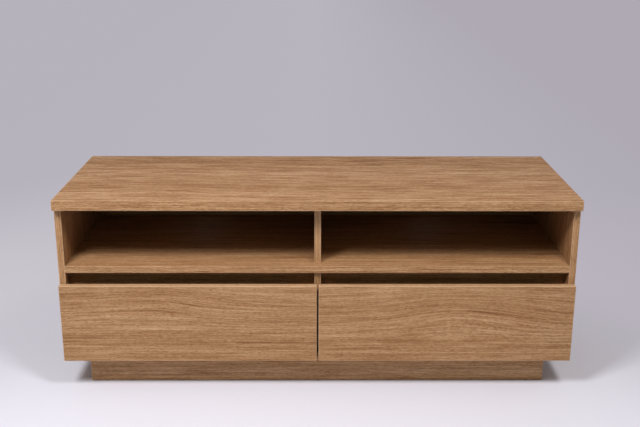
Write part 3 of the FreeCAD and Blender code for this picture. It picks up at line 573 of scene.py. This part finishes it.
def make_oak(node, grain, end_grain, seed):
    """Clear-varnished oak veneer with edge strips, for one board."""
    material, tree, shader = new_material("oak_" + node, IOR=1.45, Specular_IOR_Level=0.3)
    eye, eye_size = EYES.get(node, NO_EYE)
    flow = use(tree, grain_flow, Grain=grain, End_Grain=end_grain, Seed=seed, Eye=eye,
               Eye_Size=eye_size)["Flow"]
    figure = flow
    shares = GRAIN_SHARES.get(node, PLAIN_SHARES)
    if node in STRIPPED_BOARDS:
        on_strip = looks(tree, FORWARD)
        finer = scaled(tree, vectors(tree, "MULTIPLY", flow, STRIP_FINENESS), on_strip)
        figure = vectors(tree, "ADD", flow, finer)
        shares = [between(tree, on_strip, 0.0, 1.0, plain, strip)
                  for plain, strip in zip(shares, STRIP_SHARES)]
    oak = wood_grain(tree, figure, shares, OAK_LINES)
    tone = oak["Tone"]
    # Growth lines, and on the plinth bands of painted light and shade
    face, lines = GROWTH_LINES_AND_PAINTED_LIGHT.get(node, NO_LINES)
    for start, end, along, across, half_width, strength in lines:
        level = level_at(along, across + face, eye, eye_size)
        line = use(tree, tone_line, Flow=flow, Level=level, Half_Width=half_width,
                   Strength=strength, Start=start, End=end)
        tone = sums(tree, "ADD", tone, line["Tone"])
    # Painted highlight and shade on the faces that look one way
    if node in PAINTED_FACE_LIGHT:
        way, painted_tone = PAINTED_FACE_LIGHT[node]
        tone = sums(tree, "MULTIPLY_ADD", looks(tree, way), painted_tone, tone)
    wood = colour_steps(tree, tone, OAK_STEPS)
    pores = sums(tree, "MULTIPLY", oak["Pores"], PORE_STRENGTH)
    pored = tint(tree, "MIX", pores, wood, PORE_BROWN)
    # A painted highlight along the arrises
    near = near_arris(tree, node, OAK_ARRIS)
    arris_share = sums(tree, "MULTIPLY", near, ARRIS_HIGHLIGHT_SHARES.get(node, PLAIN_ARRIS_HIGHLIGHT))
    veneer = tint(tree, "MIX", arris_share, pored, ARRIS_HIGHLIGHT)
    # Painted shade, darker and warmer, on boards that lie in shade
    if node in PAINTED_SHADE_TINTS:
        veneer = tint(tree, "MULTIPLY", 1.0, veneer, PAINTED_SHADE_TINTS[node])
    put(tree, shader.inputs["Base Color"], veneer)
    satin = between(tree, tone, *TONE_RANGE, *OAK_ROUGHNESS)
    rough = sums(tree, "MULTIPLY_ADD", oak["Pores"], PORE_ROUGHNESS, satin)
    put(tree, shader.inputs["Roughness"], rough)
    bumped(tree, shader, oak["Height"], OAK_BUMP)
    finish(material, node)


for board, (grain, end_grain, seed) in OAK_BOARDS.items():
    make_oak(board, grain, end_grain, seed)

# The drawers, with a shift of the seeds that sets the grain of their boards apart
DRAWERS = {"left_drawer": 11.0, "right_drawer": 12.0}
# Drawer box boards, pale and close grained
PALE_STEPS = [
    (0.0, screen(150, 112, 76)),
    (0.4, screen(188, 150, 110)),
    (0.6, screen(200, 163, 124)),
    (1.0, screen(218, 186, 148)),
]
BOX_BOARDS = {
    "left_side": (FRONT_TO_BACK, UPRIGHT, 21.0),
    "right_side": (FRONT_TO_BACK, UPRIGHT, 22.0),
    "inner_front": (LENGTHWAYS, UPRIGHT, 23.0),
    "box_back": (LENGTHWAYS, UPRIGHT, 24.0),
}
BOX_SHARES = (0.3, 0.2, 0.5, 0.4)
BOX_LINES = 0.1
BOX_WAVE = 0.004
BOX_ARRIS = 0.002
BOX_ARRIS_TINT = screen(196, 176, 148)
BOX_WEAR = 0.3
BOX_ROUGHNESS = (0.5, 0.38)
BOX_BUMP = 0.00006


def make_drawer_board(node, grain, end_grain, seed):
    """Pale faced board with a matching edge strip."""
    material, tree, shader = new_material("pale_" + node, IOR=1.46)
    flow = use(tree, grain_flow, Grain=grain, End_Grain=end_grain, Seed=seed, Wave=BOX_WAVE)
    wood = wood_grain(tree, flow["Flow"], BOX_SHARES, BOX_LINES)
    pale = colour_steps(tree, wood["Tone"], PALE_STEPS)
    arris_share = sums(tree, "MULTIPLY", near_arris(tree, node, BOX_ARRIS), BOX_WEAR)
    put(tree, shader.inputs["Base Color"], tint(tree, "MULTIPLY", arris_share, pale, BOX_ARRIS_TINT))
    put(tree, shader.inputs["Roughness"], between(tree, wood["Tone"], *TONE_RANGE, *BOX_ROUGHNESS))
    bumped(tree, shader, wood["Height"], BOX_BUMP)
    finish(material, node)


for drawer, seed_shift in DRAWERS.items():
    for board, (grain, end_grain, seed) in BOX_BOARDS.items():
        make_drawer_board(drawer + "_" + board, grain, end_grain, seed + seed_shift)

# Thin boards: printed on the face, bare pressed fibre behind
BACK_STEPS = [
    (0.0, screen(102, 72, 44)),
    (0.3, screen(138, 103, 68)),
    (0.5, screen(157, 120, 83)),
    (0.7, screen(171, 137, 99)),
    (1.0, screen(190, 158, 122)),
]
PRINT_SHARES = (0.5, 0.3, 0.8, 0.5)
PRINT_LINES = 0.14
FIBRE_STEPS = [
    (0.25, screen(112, 80, 54)),
    (0.5, screen(150, 112, 80)),
    (0.8, screen(178, 141, 106)),
]
FIBRE_SIZE = 0.0016
FIBRE_CLOUD = screen(214, 200, 186)
FIBRE_CLOUD_EDGE = (0.35, 0.65)
FIBRE_CLOUD_SHARE = 0.3
FIBRE_ROUGHNESS = 0.72
PRINT_SMOOTHING = -0.22
FIBRE_BUMP = 0.0001


def make_thin_board(name, face, steps, seed, *boards):
    """A thin fibre board, with a printed grain on the side that looks the given way."""
    material, tree, shader = new_material(name, IOR=1.45)
    flow = use(tree, grain_flow, Grain=LENGTHWAYS, End_Grain=UPRIGHT, Seed=seed)
    print_grain = wood_grain(tree, flow["Flow"], PRINT_SHARES, PRINT_LINES)
    printed = colour_steps(tree, print_grain["Tone"], steps)
    fibre = use(tree, fine_speckle, Size=FIBRE_SIZE)
    bare = colour_steps(tree, fibre["Speckle"], FIBRE_STEPS)
    clouds = between(tree, fibre["Clouds"], *FIBRE_CLOUD_EDGE, 0.0, FIBRE_CLOUD_SHARE)
    cloudy = tint(tree, "MULTIPLY", clouds, bare, FIBRE_CLOUD)
    on_print = looks(tree, face)
    put(tree, shader.inputs["Base Color"], tint(tree, "MIX", on_print, cloudy, printed))
    rough = sums(tree, "MULTIPLY_ADD", on_print, PRINT_SMOOTHING, FIBRE_ROUGHNESS)
    put(tree, shader.inputs["Roughness"], rough)
    bumped(tree, shader, fibre["Speckle"], FIBRE_BUMP)
    finish(material, *boards)


make_thin_board("thin_back_board", FORWARD, BACK_STEPS, 31.0, "back_panel")
make_thin_board("thin_drawer_board", UPWARD, PALE_STEPS, 32.0,
                *[drawer + "_box_bottom" for drawer in DRAWERS])

# Corner blocks and dowels of bare wood
PINE_STEPS = [
    (0.1, screen(176, 128, 78)),
    (0.5, screen(214, 176, 124)),
    (0.9, screen(230, 200, 152)),
]
BEECH_STEPS = [
    (0.1, screen(182, 138, 98)),
    (0.5, screen(208, 168, 128)),
    (0.9, screen(222, 188, 150)),
]
BARE_SHARES = (0.8, 0.3, 0.6, 0.4)
BARE_LINES = 0.3
BARE_WAVE = 0.01
BARE_ROUGHNESS = (0.75, 0.6)
BARE_BUMP = 0.00015


def make_bare_wood(name, grain, seed, steps, part):
    """Bare, unvarnished wood."""
    material, tree, shader = new_material(name, IOR=1.45)
    flow = use(tree, grain_flow, Grain=grain, End_Grain=grain, Seed=seed, Wave=BARE_WAVE)
    wood = wood_grain(tree, flow["Flow"], BARE_SHARES, BARE_LINES)
    put(tree, shader.inputs["Base Color"], colour_steps(tree, wood["Tone"], steps))
    put(tree, shader.inputs["Roughness"], between(tree, wood["Tone"], *TONE_RANGE, *BARE_ROUGHNESS))
    bumped(tree, shader, wood["Height"], BARE_BUMP)
    finish(material, part)


make_bare_wood("pine_blocks", UPRIGHT, 41.0, PINE_STEPS, "plinth_corner_blocks")
make_bare_wood("beech_dowels", LENGTHWAYS, 42.0, BEECH_STEPS, "wood_dowels")

# Metal parts
RAILS = [drawer + side + rail for drawer in DRAWERS for side in ("_left", "_right")
         for rail in ("_outer_rail", "_middle_rail", "_inner_rail")]
CAGES = [drawer + cage for drawer in DRAWERS for cage in ("_outer_ball_cages", "_inner_ball_cages")]
SCREWS = [drawer + kind for drawer in DRAWERS
          for kind in ("_box_screws", "_front_screws", "_slide_screws")]
SCREWS += ["carcass_screws", "plinth_screws", "back_panel_screws", "slide_cabinet_screws"]
CAMS = ["cam_discs", "cam_bolts"]
# Places of the dark and the light colour in the tones of a metal or a moulding
DARK_PLACE = 0.3
LIGHT_PLACE = 0.7
METAL_BUMP = 0.00002
# Each metal's dark and light colour, cycles of its drawing marks and of its clouds, and its parts
METALS = {
    "zinc_plated_rails": (
        screen(150, 152, 156), screen(212, 214, 218), (700.0, 9.0, 700.0), 60.0, RAILS),
    "bright_ball_cages": (
        screen(176, 178, 180), screen(226, 227, 229), (500.0, 14.0, 500.0), 120.0, CAGES),
    "zinc_plated_screws": (
        screen(140, 138, 130), screen(206, 204, 196), (900.0, 900.0, 900.0), 260.0, SCREWS),
    "bronzed_cams": (
        screen(84, 62, 42), screen(126, 98, 70), (600.0, 600.0, 600.0), 200.0, CAMS),
}


def make_metal(name, dark, light, marks, clouds, parts):
    """Plated or bright metal with drawing marks."""
    material, tree, shader = new_material(name, Metallic=1.0)
    metal = use(tree, rolled_metal, Marks=marks, Clouds=clouds)
    steps = [(DARK_PLACE, dark), (LIGHT_PLACE, light)]
    put(tree, shader.inputs["Base Color"], colour_steps(tree, metal["Tone"], steps))
    put(tree, shader.inputs["Roughness"], metal["Roughness"])
    bumped(tree, shader, metal["Height"], METAL_BUMP)
    finish(material, *parts)


for metal_name, look in METALS.items():
    make_metal(metal_name, *look)

# Moulded parts
SKIN_SIZE = 0.0007
SKIN_RANGE = (0.3, 0.7)
SKIN_ROUGHNESS_SPREAD = 0.08
SKIN_BUMP = 0.00008


def make_moulded(name, dark, light, rough, part):
    """Moulded plastic or rubber with a fine grain."""
    material, tree, shader = new_material(name, IOR=1.5)
    skin = use(tree, fine_speckle, Size=SKIN_SIZE)
    steps = [(DARK_PLACE, dark), (LIGHT_PLACE, light)]
    put(tree, shader.inputs["Base Color"], colour_steps(tree, skin["Clouds"], steps))
    smooth = rough - SKIN_ROUGHNESS_SPREAD
    coarse = rough + SKIN_ROUGHNESS_SPREAD
    put(tree, shader.inputs["Roughness"], between(tree, skin["Speckle"], *SKIN_RANGE, smooth, coarse))
    bumped(tree, shader, skin["Speckle"], SKIN_BUMP)
    finish(material, part)


make_moulded("brown_glides", screen(104, 82, 62), screen(124, 99, 76), 0.5, "floor_glides")
make_moulded("clear_grey_bumpers", screen(176, 176, 172), screen(198, 198, 194), 0.45, "drawer_bumpers")

# Studio: a pale floor out to the horizon, a hair below the glides
FLOOR_REACH = 45.0
FLOOR_SIDES = 96
FLOOR_HEIGHT = -0.0004
FLOOR_PALE = screen(228, 228, 241)
# A little darker towards the lamps, so that it stays short of white there
FLOOR_BY_LAMPS = screen(209, 209, 221)
LAMPS_TO_STAND = (-1.1, -0.45)
# Greys of the floor from left to right, far off and nearer the stand
BACKDROP_GREY = screen(184, 181, 191)
GREY_SPREAD = 4.0
FAR_GREYS = [(0.0, screen(182, 178, 187)), (0.5, BACKDROP_GREY), (1.0, screen(174, 169, 179))]
NEAR_GREYS = [(0.2, screen(204, 200, 208)), (0.5, screen(190, 186, 196)), (0.8, screen(184, 178, 188))]
# The middle of the lit floor
LIT_MIDDLE = (0.0, -0.5, 0.0)
# Distances from there at which the lit floor ends, the near greys end and the far greys end
LIT_EDGE = (0.82, 1.5)
NEAR_EDGE = (1.2, 3.0)
FAR_EDGE = (14.0, 40.0)


def seen(tree):
    """1 for what the camera sees, directly or in a reflection or through glass."""
    path = add(tree, "ShaderNodeLightPath").outputs
    reflected = sums(tree, "MAXIMUM", path["Is Camera Ray"], path["Is Glossy Ray"])
    return sums(tree, "MAXIMUM", reflected, path["Is Transmission Ray"])


def make_floor():
    """A wide pale floor that goes over into a plain grey backdrop away from the stand."""
    mesh = bpy.data.meshes.new("studio_floor")
    sheet = bmesh.new()
    bmesh.ops.create_circle(sheet, cap_ends=True, segments=FLOOR_SIDES, radius=FLOOR_REACH)
    sheet.to_mesh(mesh)
    sheet.free()
    floor = bpy.data.objects.new("studio_floor", mesh)
    bpy.context.collection.objects.link(floor)
    floor.location.z = FLOOR_HEIGHT
    material, tree, shader = new_material("pale_floor", Roughness=0.9, Specular_IOR_Level=0.15)
    spot = object_place(tree)
    place = split(tree, spot)
    from_lamps = between(tree, place["Y"], *LAMPS_TO_STAND)
    put(tree, shader.inputs["Base Color"], tint(tree, "MIX", from_lamps, FLOOR_BY_LAMPS, FLOOR_PALE))
    outwards = vectors(tree, "MULTIPLY", vectors(tree, "SUBTRACT", spot, LIT_MIDDLE), LEVEL)
    away = vectors(tree, "LENGTH", outwards, result="Value")
    sideways = sums(tree, "MULTIPLY_ADD", place["X"], 1.0 / GREY_SPREAD, 0.5)
    near = colour_steps(tree, sideways, NEAR_GREYS)
    far = colour_steps(tree, sideways, FAR_GREYS)
    greys = tint(tree, "MIX", between(tree, away, *NEAR_EDGE), near, far)
    backdrop = tint(tree, "MIX", between(tree, away, *FAR_EDGE), greys, BACKDROP_GREY)
    glow = add(tree, "ShaderNodeEmission", {"Color": backdrop, "Strength": 1.0})
    share = sums(tree, "MULTIPLY", between(tree, away, *LIT_EDGE), seen(tree))
    mixed = add(tree, "ShaderNodeMixShader", {0: share, 1: shader.outputs[0], 2: glow.outputs[0]})
    put(tree, tree.nodes["Material Output"].inputs["Surface"], mixed.outputs[0])
    mesh.materials.append(material)


# Fill light: strength from the front and sides, strength from behind, colour, and colour from the front
SIDE_FILL = 0.18
BACK_FILL = 0.43
FILL_TINT = (1.0, 0.96, 0.96, 1.0)
FRONT_TINT = (0.78, 1.0, 0.72, 1.0)
# Where one goes over into the other, from -1 straight in front of the stand to 1 straight behind it
SIDE_TO_BACK = (-0.3, 0.5)
FRONT_TO_SIDE = (-0.8, -0.3)


def make_world():
    """Soft fill, more of it from behind, and grey where the camera looks past the floor."""
    world = bpy.data.worlds.new("studio")
    bpy.context.scene.world = world
    world.use_nodes = True
    tree = world.node_tree
    tree.nodes.clear()
    way = add(tree, "ShaderNodeTexCoord").outputs["Generated"]
    rearward = split(tree, way)["Y"]
    strength = between(tree, rearward, *SIDE_TO_BACK, SIDE_FILL, BACK_FILL)
    ahead = between(tree, rearward, *FRONT_TO_SIDE, 1.0, 0.0)
    colour = tint(tree, "MIX", ahead, FILL_TINT, FRONT_TINT)
    fill = add(tree, "ShaderNodeBackground", {"Color": colour, "Strength": strength})
    shown = add(tree, "ShaderNodeBackground", {"Color": BACKDROP_GREY, "Strength": 1.0})
    mixed = add(tree, "ShaderNodeMixShader", {0: seen(tree), 1: fill.outputs[0], 2: shown.outputs[0]})
    add(tree, "ShaderNodeOutputWorld", {"Surface": mixed.outputs[0]})


# Soft boxes: place, width and height, power and colour, all turned to one target
LAMP_TARGET = (0.0, -0.15, 0.36)
LAMPS = {
    "left_soft_box": ((-1.07, -1.65, 2.2), (0.65, 0.65), 49.3, (1.0, 0.99, 0.985)),
    "right_soft_box": ((0.91, -1.56, 2.52), (0.54, 0.6), 33.8, (1.0, 0.96, 0.92)),
}


def make_lamp(name, place, size, power, colour):
    """A soft box at a place, turned to the stand."""
    lamp = bpy.data.lights.new(name, "AREA")
    lamp.shape = "RECTANGLE"
    width, height = size
    lamp.size = width
    lamp.size_y = height
    lamp.energy = power
    lamp.color = colour
    holder = bpy.data.objects.new(name, lamp)
    bpy.context.collection.objects.link(holder)
    holder.location = place
    aim = Vector(LAMP_TARGET) - Vector(place)
    holder.rotation_euler = aim.to_track_quat("-Z", "Y").to_euler()
    holder.visible_camera = False


# Camera: lens and sensor in millimetres, place and reach in metres, angles in degrees
LENS = 53.93
SENSOR = 36.0
CAMERA_PLACE = (-0.0122, -2.6621, 1.2529)
CAMERA_REACH = 200.0
CAMERA_TURN = -0.424
CAMERA_DIP = 16.995
CAMERA_ROLL = 0.159


def rotation(degrees, axis):
    """A turn about an axis."""
    return Matrix.Rotation(math.radians(degrees), 4, axis)


def make_camera():
    """The photograph's viewing angle."""
    lens = bpy.data.cameras.new("camera")
    lens.sensor_fit = "HORIZONTAL"
    lens.sensor_width = SENSOR
    lens.lens = LENS
    lens.clip_end = CAMERA_REACH
    camera = bpy.data.objects.new("camera", lens)
    bpy.context.collection.objects.link(camera)
    turn = rotation(CAMERA_TURN, "Z")
    tilt = rotation(90.0 - CAMERA_DIP, "X")
    roll = rotation(CAMERA_ROLL, "Z")
    camera.matrix_world = Matrix.Translation(CAMERA_PLACE) @ turn @ tilt @ roll
    bpy.context.scene.camera = camera


make_floor()
make_world()
for lamp_name, setting in LAMPS.items():
    make_lamp(lamp_name, *setting)
make_camera()
bpy.context.scene.view_settings.view_transform = "Standard"
